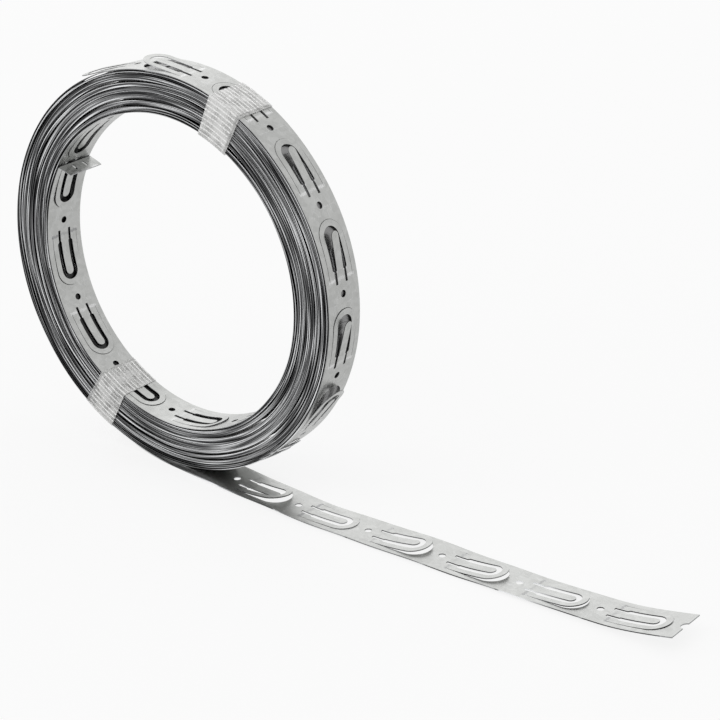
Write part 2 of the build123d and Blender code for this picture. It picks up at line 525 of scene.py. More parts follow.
class MaterialSheet(NodeSheet):
    """The node tree of one material, with its shader and the place on the strap."""

    def __init__(self, name: str) -> None:
        """Start a material.

        Args:
            name: its name.
        """
        self.material = bpy.data.materials.new(name)
        self.material.use_nodes = True
        super().__init__(self.material.node_tree)
        self.shader = self.tree.nodes["Principled BSDF"]
        self.place = self.attribute(STRAP_PLACE)

    def attribute(self, name: str) -> bpy.types.NodeSocket:
        """A vector kept at the mesh's vertices."""
        return self.add("ShaderNodeAttribute", attribute_name=name).outputs["Vector"]

    def effect(self, group: bpy.types.NodeTree) -> bpy.types.Node:
        """A shared effect at the place on the strap."""
        return self.add("ShaderNodeGroup", {"Place": self.place}, node_tree=group)

    def dress(self, inputs: dict[str, object], height: object, bump: Point2) -> bpy.types.Material:
        """Feed the shader.

        Args:
            inputs: what the shader's inputs get, by name.
            height: the height of the bump.
            bump: the bump's strength, and its depth in metres.

        Returns:
            The material.
        """
        fed = {"Strength": bump[0], "Distance": bump[1], "Height": height}
        normal = self.add("ShaderNodeBump", fed).outputs[0]
        for title, value in {**inputs, "Normal": normal}.items():
            self.feed(self.shader.inputs[title], value)
        return self.material


@dataclass
class Effects:
    """Surface effects that several finishes share, each a node group built once.

    A scale of three numbers is repeats per metre along the strap, per metre across it, and per turn. Each pair
    in scuff_turns is an angle of scratches in radians and where their noise starts.
    """

    streak_scale: Point3 = (60.0, 2600.0, 3.0)
    mottle_stretch: Point3 = (1.0, 1.0, 0.37)
    spangle_scale: float = 420.0
    cloud_scale: float = 110.0
    scuff_scale: Point3 = (140.0, 5200.0, 1.0)
    scuff_turns: tuple[Point2, ...] = ((0.35, 1.7), (-0.6, 6.1))
    scuff_range: Point2 = (0.66, 0.74)

    def __post_init__(self) -> None:
        """Build the groups."""
        self.grain = self.build_grain()
        self.scuffs = self.build_scuffs()

    @staticmethod
    def start(name: str, outputs: tuple[str, ...]) -> tuple[NodeSheet, bpy.types.NodeSocket, bpy.types.Node]:
        """A new group that takes the place on the strap and gives values.

        Args:
            name: the group's name.
            outputs: the names of its values.

        Returns:
            The sheet to write on, the place and the output node.
        """
        tree = bpy.data.node_groups.new(name, "ShaderNodeTree")
        tree.interface.new_socket("Place", in_out="INPUT", socket_type="NodeSocketVector")
        for title in outputs:
            tree.interface.new_socket(title, in_out="OUTPUT", socket_type="NodeSocketFloat")
        sheet = NodeSheet(tree)
        return sheet, sheet.add("NodeGroupInput").outputs["Place"], sheet.add("NodeGroupOutput")

    def build_grain(self) -> bpy.types.NodeTree:
        """Rolling streaks along the strap and the mottle of its coating.

        Returns:
            The group.
        """
        sheet, place, out = self.start("rolled_grain", ("Streak", "Mottle", "Height"))
        streak = sheet.noise(sheet.vector("MULTIPLY", place, self.streak_scale), 1.0, 4.0)
        wide = sheet.vector("MULTIPLY", place, self.mottle_stretch)
        spangle = sheet.add("ShaderNodeTexVoronoi", {"Vector": wide, "Scale": self.spangle_scale})
        value = sheet.add("ShaderNodeSeparateColor", {"Color": spangle.outputs["Color"]}).outputs[0]
        mottle = sheet.weighted((value, 0.4), (sheet.noise(wide, self.cloud_scale, 3.0), 0.6))
        height = sheet.weighted((streak, 0.6), (mottle, 0.4))
        for title, socket in (("Streak", streak), ("Mottle", mottle), ("Height", height)):
            sheet.feed(out.inputs[title], socket)
        return sheet.tree

    def build_scuffs(self) -> bpy.types.NodeTree:
        """Fine handling scratches, in two directions.

        Returns:
            The group.
        """
        sheet, place, out = self.start("handling_scuffs", ("Mask", "Height"))
        total = None
        for turn, seed in self.scuff_turns:
            fed = {"Vector": place, "Angle": turn}
            turned = sheet.add("ShaderNodeVectorRotate", fed, rotation_type="Z_AXIS").outputs[0]
            thin = sheet.vector("MULTIPLY", turned, self.scuff_scale)
            lines = sheet.noise(sheet.vector("ADD", thin, (seed, seed, seed)), 1.0, 1.0)
            mask = sheet.span(lines, self.scuff_range)
            total = mask if total is None else sheet.most(total, mask)
        sheet.feed(out.inputs["Mask"], total)
        sheet.feed(out.inputs["Height"], sheet.times(total, -1.0))
        return sheet.tree


@dataclass(frozen=True)
class SteelFinish:
    """Zinc-coated sheet steel, with painted shade where it lies under other turns and painted light at its
    creases.

    covered is the range of turns that lie under others and get painted shade, and deep and shallow are the
    painted shade's colours at its two ends.
    leg_marks and tongue_mark say how far from the centre line the painted light at a crease reaches. burr is
    half the length and half the width of the painted glints at the burrs at the slot's necks.
    """

    shaded_turns: Point2
    unit: StampedUnit
    name: str = "galvanised_sheet"
    dark: Point3 = (0.42, 0.425, 0.415)
    light: Point3 = (0.48, 0.485, 0.475)
    # Painted shade colours for the turns under others, at the inner and the outer end of their range.
    deepest_painted_shade: Point3 = (0.03, 0.03, 0.03)
    lightest_painted_shade: Point3 = (0.25, 0.25, 0.25)
    scuffed: Point3 = (0.8, 0.81, 0.82)
    scuff_share: float = 0.3
    scuff_height: float = 0.5
    # Painted highlight along the creases, its share, and the roughness added there.
    painted_crease_highlight: Point3 = (0.95, 0.95, 0.96)
    painted_crease_highlight_share: float = 0.85
    crease_highlight_roughness: float = 0.15
    # Painted shade along the creases, and its share.
    painted_crease_shade: Point3 = (0.2, 0.2, 0.21)
    painted_crease_shade_share: float = 0.7
    roughness: Point2 = (0.27, 0.38)
    bump: Point2 = (0.2, 0.00004)
    leg_marks: Point2 = (3.8, 7.8)
    tongue_mark: float = 2.3
    tongue_share: float = 0.5
    mark_width: Point2 = (0.25, 1.1)
    # The size of the painted glints at the burrs.
    burr_glint: Point2 = (0.5, 1.05)

    def build(self, effects: Effects) -> bpy.types.Material:
        """Make the material.

        Args:
            effects: the shared groups.

        Returns:
            The material.
        """
        sheet = MaterialSheet(self.name)
        grain = sheet.effect(effects.grain).outputs
        scuffs = sheet.effect(effects.scuffs).outputs
        white, painted_shade_share = self.painted_crease_light(sheet)
        colour = sheet.mix(sheet.span(grain["Mottle"], NOISE_RANGE), self.dark, self.light)
        colour = sheet.mix(sheet.times(scuffs["Mask"], self.scuff_share), colour, self.scuffed)
        # Painted highlight and painted shade along the creases at the loops' roots, and painted glints at the
        # burrs.
        colour = sheet.mix(sheet.times(white, self.painted_crease_highlight_share), colour, self.painted_crease_highlight)
        colour = sheet.mix(sheet.times(painted_shade_share, self.painted_crease_shade_share), colour, self.painted_crease_shade)
        # Painted shade on the turns that lie under others, darkest on the innermost of them.
        turn = sheet.parts(sheet.place)[2]
        painted_shade_colour = sheet.mix(sheet.span(turn, self.shaded_turns), self.deepest_painted_shade, self.lightest_painted_shade)
        colour = sheet.mix(sheet.within(turn, *self.shaded_turns), colour, painted_shade_colour)
        rough = sheet.span(grain["Streak"], NOISE_RANGE, self.roughness)
        rough = sheet.plus(rough, sheet.times(white, self.crease_highlight_roughness))
        height = sheet.plus(grain["Height"], sheet.times(scuffs["Height"], self.scuff_height))
        inputs = {"Base Color": colour, "Roughness": rough, "Metallic": 1.0}
        return sheet.dress(inputs, height, self.bump)

    def painted_crease_light(self, sheet: MaterialSheet) -> tuple[bpy.types.NodeSocket, bpy.types.NodeSocket]:
        """Painted highlight and painted shade across the roots of the loops, and painted glints at the burrs of
        the slot's necks.

        Args:
            sheet: the material's node tree.

        Returns:
            The share of painted highlight and the share of painted shade.
        """
        place = sheet.attribute(UNIT_PLACE)
        along, across, crease_light_tone = sheet.parts(place)
        side = sheet.math("ABSOLUTE", across)
        width = sheet.span(sheet.noise(place, 1.6, 2.0), (0.35, 0.65), self.mark_width)
        past = sheet.math("SUBTRACT", sheet.apart(along, self.unit.crease), width)
        legs = sheet.within(side, *self.leg_marks)
        tongue = sheet.times(sheet.under(side, self.tongue_mark), self.tongue_share)
        mark = sheet.times(sheet.span(past, (-0.3, 0.1), (1.0, 0.0)), sheet.most(legs, tongue))
        neck = (self.unit.neck_inner + self.unit.neck_outer) / 2
        burr_run = sheet.under(sheet.apart(along, self.unit.neck_end), self.burr_glint[0])
        burr_side = sheet.under(sheet.apart(side, neck), self.burr_glint[1])
        # Painted highlight where the crease's number is above zero, with painted glints at the burrs; painted
        # shade where it is below.
        bright = sheet.most(mark, sheet.times(burr_run, burr_side))
        white = sheet.times(bright, sheet.most(crease_light_tone, 0.0))
        painted_shade_share = sheet.times(mark, sheet.most(sheet.times(crease_light_tone, -1.0), 0.0))
        return white, painted_shade_share


@dataclass(frozen=True)
class CutEdgeFinish:
    """The sheared edges of the turns, in a tone that wanders from dark to bright: the dark end is partly the
    bare steel's own duller tone and partly painted shade in the gaps between turns, and the bright end is
    painted glints.

    waves are two noises that set the painted shade and glints: repeats per metre of strap, repeats per turn, and
    weight.
    """

    name: str = "sheared_edge"
    # Partly the bare steel's own duller tone, partly painted shade in the gaps between turns.
    dark: Point3 = (0.03, 0.03, 0.032)
    # Painted glints on the edges.
    light: Point3 = (0.9, 0.91, 0.92)
    metallic: float = 0.75
    waves: tuple[Point3, ...] = ((12.0, 1.9, 0.38), (24.0, 9.1, 0.62))
    shade_and_glint_range: Point2 = (0.40, 0.61)
    contrast: float = 1.7
    roughness: Point2 = (0.28, 0.55)
    bump: Point2 = (0.6, 0.00004)

    def build(self, effects: Effects) -> bpy.types.Material:
        """Make the material.

        Args:
            effects: the shared groups.

        Returns:
            The material.
        """
        sheet = MaterialSheet(self.name)
        grain = sheet.effect(effects.grain).outputs
        along, _, turn = sheet.parts(sheet.place)
        shade_and_glint_tones = []
        for by_length, by_turn, weight in self.waves:
            fed = {"X": sheet.times(along, by_length), "Y": sheet.times(turn, by_turn), "Z": 0.0}
            at = sheet.add("ShaderNodeCombineXYZ", fed).outputs[0]
            shade_and_glint_tones.append((sheet.noise(at, 1.0, 1.0), weight))
        # The edge's tone runs from painted shade to painted glints.
        share = sheet.span(sheet.weighted(*shade_and_glint_tones), self.shade_and_glint_range)
        colour = sheet.mix(sheet.math("POWER", share, self.contrast), self.dark, self.light)
        rough = sheet.span(grain["Streak"], NOISE_RANGE, self.roughness)
        inputs = {"Base Color": colour, "Roughness": rough, "Metallic": self.metallic}
        return sheet.dress(inputs, grain["Height"], self.bump)


@dataclass(frozen=True)
class TapeFinish:
    """Translucent white film over raised fibre ribs.

    film_cover is how much the film hides where it has lifted and where it sticks, and faintest_rib is how strong
    a rib is where it is most worn. cross_pitch and thin_end are metres across the tape.
    """

    name: str
    film_cover: Point2
    faintest_rib: float
    rib: Point3 = (1.0, 1.0, 0.99)
    film: Point3 = (0.74, 0.74, 0.73)
    drift_scale: float = 190.0
    wander: float = 1.6
    rib_edge: Point2 = (0.3, 0.7)
    wear_scale: Point3 = (450.0, 40.0, 0.0)
    wear_range: Point2 = (0.34, 0.5)
    cross_pitch: float = 0.0011
    cross_edge: Point2 = (0.2, 0.9)
    cross_share: float = 0.35
    cross_height: float = 0.5
    scuff_share: float = 0.5
    speckle_scale: float = 900.0
    speckle: Point2 = (0.65, 1.0)
    thin_end: Point2 = (0.0012, 0.002)
    stuck_range: Point2 = (0.42, 0.6)
    roughness: Point2 = (0.25, 0.5)
    bump: Point2 = (0.5, 0.0001)

    def build(self, effects: Effects) -> bpy.types.Material:
        """Make the material.

        Args:
            effects: the shared groups.

        Returns:
            The material.
        """
        sheet = MaterialSheet(self.name)
        run, across, _ = sheet.parts(sheet.place)
        drift = sheet.noise(sheet.place, self.drift_scale, 2.0)
        wander = sheet.times(sheet.math("SUBTRACT", drift, 0.5), self.wander)
        turns = sheet.times(run, math.tau / (RIB_PITCH * METRE))
        rib = sheet.span(sheet.math("COSINE", sheet.plus(turns, wander)), self.rib_edge)
        worn = sheet.noise(sheet.vector("MULTIPLY", sheet.place, self.wear_scale), 1.0, 1.0)
        rib = sheet.times(rib, sheet.span(worn, self.wear_range, (self.faintest_rib, 1.0)))
        cross = sheet.math("COSINE", sheet.times(across, math.tau / self.cross_pitch))
        cross = sheet.span(cross, self.cross_edge)
        scuffs = sheet.effect(effects.scuffs).outputs["Mask"]
        speckle = sheet.noise(sheet.place, self.speckle_scale, 2.0)
        thin_end = sheet.span(across, self.thin_end, (1.0, 0.0))
        share = sheet.most(rib, sheet.times(cross, self.cross_share))
        share = sheet.most(share, sheet.times(scuffs, self.scuff_share))
        share = sheet.times(share, sheet.span(speckle, (0.3, 0.6), self.speckle))
        share = sheet.times(share, sheet.lessened(thin_end, 0.75))
        stuck = sheet.span(drift, self.stuck_range, self.film_cover)
        stuck = sheet.times(stuck, sheet.lessened(thin_end, 0.4))
        inputs = {
            "Base Color": sheet.mix(share, self.film, self.rib),
            "Roughness": sheet.span(share, (0.0, 1.0), self.roughness),
            "Alpha": sheet.most(stuck, share),
        }
        height = sheet.plus(sheet.times(cross, self.cross_height), speckle)
        return sheet.dress(inputs, height, self.bump)


@dataclass
class StrapMesh:
    """Collects the strap's surfaces, with the place on the strap of every vertex.

    early_rise is the share of a loop's rise that begins at once, at its crease. Edges of more than sharp degrees
    stay sharp, and vertices nearer than weld metres become one.
    """

    unit: StampedUnit
    points: list[Vector] = field(default_factory=list)
    faces: list[Face] = field(default_factory=list)
    sides: list[Side] = field(default_factory=list)
    strap_place: list[Point3] = field(default_factory=list)
    unit_place: list[Point3] = field(default_factory=list)
    early_rise: float = 0.4
    sharp: float = 30.0
    weld: float = 2e-6

    def bend(self, u: float, v: float, region: Region, loops: LoopSet, radius: float) -> Point2:
        """How far one point of a unit is lifted and moved sideways.

        Args:
            u: distance from the fixing hole.
            v: distance from the centre line.
            region: what the strap is there.
            loops: how the unit is bent.
            radius: the radius that the strap is wound to.

        Returns:
            The lift outwards and the move across.
        """
        unit = self.unit
        if region is Region.LOOP and u > unit.crease:
            run = u - unit.crease
            share = run / unit.loop_length
            rise = loops.rise * share * (self.early_rise + (1 - self.early_rise) * share)
            lift = loops.straight * run * run / (2 * radius) + rise
            return lift + loops.roll * share * v / unit.loop_half_width, 0.0
        if region is Region.TONGUE and u > unit.slot_root:
            run = u - unit.slot_root
            share = run / (unit.round_centre - unit.slot_root)
            lift = loops.tongue * run * run / (2 * radius) + loops.dip * share * share
            return lift, loops.lean * share * share
        return 0.0, 0.0

    def add_unit(
        self,
        layout: FlatMesh,
        place: Place,
        thickness: Callable[[float], float],
        loops: LoopSet,
        radius: float,
        along: float,
        layer: float,
        closed: tuple[bool, bool],
    ) -> None:
        """Add one unit's faces, underside and edges.

        Args:
            layout: its flat mesh.
            place: puts a point, given along, across and lifted, in the coil's axes.
            thickness: the strap's thickness at a station.
            loops: how its loop and tongue are bent.
            radius: the radius that the strap is wound to.
            along: where its hole is along the whole strap.
            layer: a number that differs from turn to turn.
            closed: whether the strap stops at the mesh's start and at its end.
        """
        region_of: dict[int, Region] = {}
        for face, region in zip(layout.faces, layout.regions):
            for i in face:
                if region_of.get(i, Region.SHEET) is Region.SHEET:
                    region_of[i] = region
        index: dict[int, int] = {}
        for i in sorted(region_of):
            u, v = layout.points[i]
            lift, move = self.bend(u, v, region_of[i], loops, radius)
            half = thickness(u) / 2
            index[i] = len(self.points)
            for w in (lift + half, lift - half):
                self.points.append(place(u, v + move, w))
                self.strap_place.append(((along + u) * METRE, v * METRE, layer + u / (math.tau * radius)))
                # The third number is how strong the painted light along the unit's creases is, below zero for
                # painted shade.
                self.unit_place.append((u, v, loops.crease))
        for face in layout.faces:
            self.faces.append(tuple(index[i] for i in reversed(face)))
            self.faces.append(tuple(index[i] + 1 for i in face))
            self.sides += [Side.FACE, Side.FACE]
        for a, b in layout.rim(closed):
            self.faces.append((index[a], index[b], index[b] + 1, index[a] + 1))
            self.sides.append(Side.EDGE)

    def add_ribbon(self, sections: list[Section]) -> None:
        """Add a plain stretch of strap.

        Args:
            sections: four corners each in order round the strip, with the distance along the strap and the turns
                wound so far.
        """
        first = len(self.points)
        half = self.unit.half_width
        for corners, along, turn in sections:
            for corner, v in zip(corners, (half, half, -half, -half)):
                self.points.append(corner)
                self.strap_place.append((along * METRE, v * METRE, turn))
                self.unit_place.append((NO_UNIT, v, 0.0))
        for k in range(len(sections) - 1):
            for c in range(4):
                a = first + 4 * k + c
                b = first + 4 * k + (c + 1) % 4
                self.faces.append((a, b, b + 4, a + 4))
                self.sides.append(Side.FACE if c % 2 else Side.EDGE)
        last = first + 4 * (len(sections) - 1)
        self.faces.append((first + 3, first + 2, first + 1, first))
        self.faces.append((last, last + 1, last + 2, last + 3))
        self.sides += [Side.EDGE, Side.EDGE]

    def to_object(self, name: str) -> bpy.types.Object:
        """Write everything as one mesh object.

        Args:
            name: the piece's name.

        Returns:
            The new object, in the scene.
        """
        places = {STRAP_PLACE: self.strap_place, UNIT_PLACE: self.unit_place}
        mesh = new_mesh(name, self.points, self.faces, places)
        mesh.polygons.foreach_set("material_index", [side.value for side in self.sides])
        work = bmesh.new()
        work.from_mesh(mesh)
        bmesh.ops.remove_doubles(work, verts=work.verts, dist=self.weld)
        for edge in work.edges:
            edge.smooth = len(edge.link_faces) == 2 and edge.calc_face_angle(0.0) < math.radians(self.sharp)
        for face in work.faces:
            face.smooth = True
        work.to_mesh(mesh)
        work.free()
        return link_object(name, mesh)


@dataclass
class CoilWinding:
    """The wound turns: where each lies, how the gaps between them bunch and how their edges sway.

    wide_gaps are turns, counted from the inner end or below zero from the outer one, with the extra gap there.
    samples are the places round a turn where the gaps are worked out, and knots are how many each turn has.
    """

    inner_radius: float = INNER_RADIUS
    outer_radius: float = OUTER_RADIUS
    whole_turns: int = 38
    inner_angle: float = 149.5
    leave_angle: float = 270.0
    strip: float = 0.31
    half_width: float = WOUND_HALF_WIDTH
    samples: int = 200
    knots: int = 12
    wide_gaps: tuple[Point2, ...] = ((-1.0, 0.5), (-3.0, 0.6), (1.0, 0.45))
    gap_spread: float = 0.3
    most_sway: float = 0.28

    def __post_init__(self) -> None:
        """Work out the table of gaps between the turns."""
        self.turns = self.whole_turns + (self.leave_angle - self.inner_angle) / 360
        self.grid = np.linspace(0.0, self.turns, round(self.turns * self.knots))
        self.slack = self.outer_radius - self.inner_radius - self.strip * (self.turns + 1)
        self.tables = [self.gap_table(math.tau * k / self.samples) for k in range(self.samples)]

    def gap_table(self, angle: float) -> np.ndarray:
        """How much gap lies below each turn at one angle, all of it added up.

        The waves only bunch the gaps unevenly, and their numbers have no other meaning.

        Args:
            angle: radians up from the drawn-out end's direction.

        Returns:
            The gap below each turn of the grid.
        """
        c = self.grid
        wave = 1.9 * np.sin(1.13 * c + 1.6 * math.sin(angle + 0.4) + 0.5 * math.sin(3 * angle))
        wave += 1.7 * np.sin(2.61 * c + 1.9 * math.sin(2 * angle + 1.1) + 1.2 * math.cos(angle))
        wave += 1.1 * np.sin(4.07 * c + 1.5 * math.sin(3 * angle + 2.0) + 2.0 * math.sin(angle + 2.5))
        density = np.exp(wave)
        table = np.concatenate([[0.0], np.cumsum((density[1:] + density[:-1]) / 2)])
        table *= (self.slack - sum(gap for _, gap in self.wide_gaps)) / table[-1]
        for turn, gap in self.wide_gaps:
            middle = turn if turn > 0 else self.turns + turn
            table += gap * np.clip((c - middle) / self.gap_spread + 0.5, 0.0, 1.0)
        return table

    def turn_at(self, total: float) -> float:
        """How many turns are wound up to an angle."""
        return (total - self.inner_angle) / 360

    def radius(self, turn: float, angle: float) -> float:
        """The radius of the strip's middle.

        Args:
            turn: how many turns lie below it, from the inner end.
            angle: degrees up from the drawn-out end's direction.

        Returns:
            The radius.
        """
        at = (angle % 360) / 360 * self.samples
        low = int(at) % self.samples
        share = at - int(at)
        gaps = (1 - share) * np.interp(turn, self.grid, self.tables[low])
        gaps += share * np.interp(turn, self.grid, self.tables[(low + 1) % self.samples])
        return self.inner_radius + self.strip * (turn + 0.5) + float(gaps)

    def sway(self, turn: float, angle: float) -> float:
        """How far the strip lies to one side of the coil's middle, less near both ends of the winding.

        Args:
            turn: how many turns lie below it.
            angle: degrees up from the drawn-out end's direction.

        Returns:
            The distance.
        """
        t = math.radians(angle)
        wave = math.sin(2.399 * turn) ** 3 + 0.5 * math.sin(3 * t + 5.1 * turn + 1.0)
        wave += 0.3 * math.sin(7 * t + 1.7 * turn)
        calm = smooth((self.turns - turn) / 2.0) * smooth(turn / 1.5)
        return self.most_sway * wave * calm

    def place(self, total: float, v: float, w: float) -> Vector:
        """Put a point of the strap on the coil.

        Args:
            total: degrees wound since the angle zero of the first turn.
            v: distance across the strap.
            w: distance out from the strip's middle.

        Returns:
            The point in the coil's axes.
        """
        turn = self.turn_at(total)
        t = math.radians(total)
        out = self.radius(turn, total) + w
        return Vector((out * math.cos(t), v + self.sway(turn, total), out * math.sin(t)))

    def length(self, total: float) -> float:
        """How much strap is wound up to an angle.

        Args:
            total: degrees wound since the angle zero of the first turn.

        Returns:
            The length.
        """
        turn = self.turn_at(total)
        mean = self.inner_radius + (self.outer_radius - self.inner_radius) * turn / self.turns / 2
        return math.tau * mean * turn

    def ribbon(self, start: float, end: float) -> list[Section]:
        """The sections of the plain turns between two angles.

        Args:
            start: the first angle, in degrees wound.
            end: the last one.

        Returns:
            Each section's corners, its distance along the strap and the turns wound so far.
        """
        half = self.strip / 2
        wide = self.half_width
        corners = [(wide, half), (wide, -half), (-wide, -half), (-wide, half)]
        count = round((end - start) / 360 * self.samples)
        made: list[Section] = []
        for k in range(count + 1):
            total = start + (end - start) * k / count
            placed = [self.place(total, v, w) for v, w in corners]
            made.append((placed, self.length(total), self.turn_at(total)))
        return made


@dataclass
class DrawnOutEnd:
    """The strap's outer end: off the coil, along the floor and curled up at its tip.

    It is wound_sheet thick on the coil and grows to sheet from thicken_start on. Over lie_length it comes to lie
    as loosely as it does further out. Its layers carry on the count of the wound turns.
    """

    first_hole: float = 32.7
    units: int = 6
    radius: float = OUTER_RADIUS
    sheet: float = 0.5
    wound_sheet: float = 0.36
    thicken_start: float = -45.0
    thicken_length: float = 30.0
    drift: float = -11.6
    drift_start: float = -36.17
    drift_length: float = 126.0
    flat_end: float = 204.0
    curl_radius: float = 247.0
    lie_length: float = 40.0
    start: float = -51.2
    notch_radius: float = 2.2
    first_layer: float = 38.0
    last_layer: float = 45.0
    loops: tuple[LoopSet, ...] = (
        LoopSet(rise=-2.4, roll=0.4, dip=-0.3, crease=-0.3),
        LoopSet(rise=-0.35, dip=-0.3, crease=-0.9),
        LoopSet(rise=-2.3, roll=-0.3, dip=-1.6, crease=-0.4),
        LoopSet(rise=-2.1, roll=-0.4, dip=-1.3, crease=-0.5),
        LoopSet(rise=-1.2, dip=-0.6, crease=-0.7),
        LoopSet(rise=-0.35, dip=-0.2, crease=-0.7),
    )

    def thickness(self, x: float) -> float:
        """The strap's thickness, from the wound strip's to the drawn-out sheet's."""
        grown = smooth((x - self.thicken_start) / self.thicken_length)
        return self.wound_sheet + (self.sheet - self.wound_sheet) * grown

    def side_shift(self, x: float) -> float:
        """How far the centre line has drifted sideways at x."""
        return self.drift * smooth((x - self.drift_start) / self.drift_length)

    def height(self, x: float, v: float) -> float:
        """How far the sheet's underside lies off the floor.

        Args:
            x: distance along it from under the coil's centre.
            v: distance across it.

        Returns:
            Its curl, and the slight waves that keep it off the floor in places.
        """
        run = max(x - self.flat_end, 0.0)
        curl = self.curl_radius - math.sqrt(self.curl_radius**2 - run**2)
        lie = smooth(x / self.lie_length)
        wave = 1 - math.cos(math.tau * (x - 20) / 75)
        ripple = 0.35 * wave + 0.25 * (1 - math.sin(math.tau * x / 37.5 + 0.6))
        edge = 0.4 * (v / 10) * math.sin(math.tau * x / 118 + 0.7) + 0.4
        return curl + lie * max(0.0, 0.5 * ripple + edge * 0.6)

    def place(self, x: float, v: float, w: float) -> Vector:
        """Put a point of the drawn-out strap.

        Args:
            x: distance along it from under the coil's centre, negative while it is still on the coil.
            v: distance across it.
            w: distance down from the strip's middle.

        Returns:
            The point in the coil's axes.
        """
        middle = self.radius - self.thickness(x) / 2
        if x <= 0:
            t = math.radians(270) + x / self.radius
            at = Vector(((middle + w) * math.cos(t), v, (middle + w) * math.sin(t)))
            at.y += self.side_shift(self.radius * math.cos(t))
            return at
        turn = math.atan2(self.side_shift(x + 0.5) - self.side_shift(x - 0.5), 1.0)
        z = self.height(x, v) - middle - w
        return Vector((x - v * math.sin(turn), self.side_shift(x) + v * math.cos(turn), z))

    def add_to(self, mesh: StrapMesh, along: float) -> None:
        """Add the whole end to the strap's mesh.

        Args:
            mesh: the strap's mesh.
            along: the length of strap up to the floor under the coil's centre.
        """
        unit = mesh.unit
        plain = unit.layout(self.start, self.first_hole - unit.lead, stamped=False)
        whole = unit.layout(-unit.lead, unit.pitch - unit.lead)
        stretches = [(plain, 0.0, LoopSet(), self.radius, self.first_layer, (True, False))]
        for index in range(self.units):
            hole = self.first_hole + index * unit.pitch
            stretches.append((whole, hole, self.loops[index], FLAT, self.first_layer + index, (False, False)))
        hole = self.first_hole + self.units * unit.pitch
        stretches.append((self.cut_end(unit), hole, LoopSet(), FLAT, self.last_layer, (False, True)))
        for layout, hole, loops, radius, layer, closed in stretches:
            place = self.offset_place(hole)
            thickness = self.offset_thickness(hole)
            mesh.add_unit(layout, place, thickness, loops, radius, along + hole, layer, closed)

    def offset_place(self, hole: float) -> Place:
        """A placing measured from one hole."""
        return lambda u, v, w: self.place(hole + u, v, w)

    def offset_thickness(self, hole: float) -> Callable[[float], float]:
        """The thickness measured from one hole."""
        return lambda u: self.thickness(hole + u)

    def cut_end(self, unit: StampedUnit) -> FlatMesh:
        """The last bit of sheet, sheared off across the middle of a hole.

        Args:
            unit: the stamped unit.

        Returns:
            Its flat mesh.
        """
        half = unit.half_width
        notch = [on_circle(self.notch_radius, math.pi / 2 + math.pi * k / 8) for k in range(9)]
        sheet = FlatSheet()
        sheet.add_ring([(-unit.lead, v) for v in unit.across()] + [(0.0, half), *notch, (0.0, -half)])
        return sheet.filled(self.cut_region)

    def cut_region(self, u: float, v: float) -> Region:
        """What the strap is near the cut end; the notch's straight sides reach a little inside its radius."""
        solid = u < -TOUCHING and math.hypot(u, v) > self.notch_radius * 0.97
        return Region.SHEET if solid else Region.OPEN


@dataclass
class InnerEnd:
    """The strap's inner end, bent in off the coil across its full width.

    overlap is how far the flap reaches back over its bend and sag curves it along its length. along and layer
    put it before the first turn.
    """

    tilt: float = -15.0
    length: float = 7.0
    half_width: float = WOUND_HALF_WIDTH
    thickness: float = 0.42
    slot: Point2 = (1.5, 5.0)
    slot_offset: float = 3.05
    slot_half: float = 0.65
    overlap: float = 0.2
    sag: float = 0.012
    along: float = -14.0
    layer: float = -1.0

    def add_to(self, mesh: StrapMesh, winding: CoilWinding) -> None:
        """Add the flap to the strap's mesh.

        Args:
            mesh: the strap's mesh.
            winding: the turns that it is bent in from.
        """
        origin = winding.place(winding.inner_angle, 0.0, 0.0)
        tilt = math.radians(self.tilt)
        forward = Vector((math.cos(tilt), 0.0, math.sin(tilt)))
        out = Vector((-math.sin(tilt), 0.0, math.cos(tilt)))

        def place(u: float, v: float, w: float) -> Vector:
            """Along the flap from its bend, across it and up from its middle."""
            lift = w - self.sag * u * u
            return origin + forward * (u - self.overlap) + out * lift + Vector((0.0, v, 0.0))

        def thickness(u: float) -> float:
            """The flap's thickness, the same all along."""
            return self.thickness

        flat = self.layout()
        mesh.add_unit(flat, place, thickness, LoopSet(), FLAT, self.along, self.layer, (True, True))

    def layout(self) -> FlatMesh:
        """The flap's flat mesh, with the two slot necks it was cut through.

        Returns:
            The flat mesh, with points along its sides for its slight sag.
        """
        stations = [self.length * k / 5 for k in range(6)]
        upper = [(u, self.half_width) for u in stations]
        sheet = FlatSheet()
        sheet.add_ring(upper + [(u, -self.half_width) for u in reversed(stations)])
        start, end = self.slot
        for offset in (-self.slot_offset, self.slot_offset):
            low, high = offset - self.slot_half, offset + self.slot_half
            sheet.add_ring([(start, low), (end, low), (end, high), (start, high)])
        return sheet.filled(self.region_at)

    def region_at(self, u: float, v: float) -> Region:
        """What the flap is at one point."""
        in_slot = self.slot[0] < u < self.slot[1] and abs(abs(v) - self.slot_offset) < self.slot_half
        return Region.OPEN if in_slot else Region.SHEET


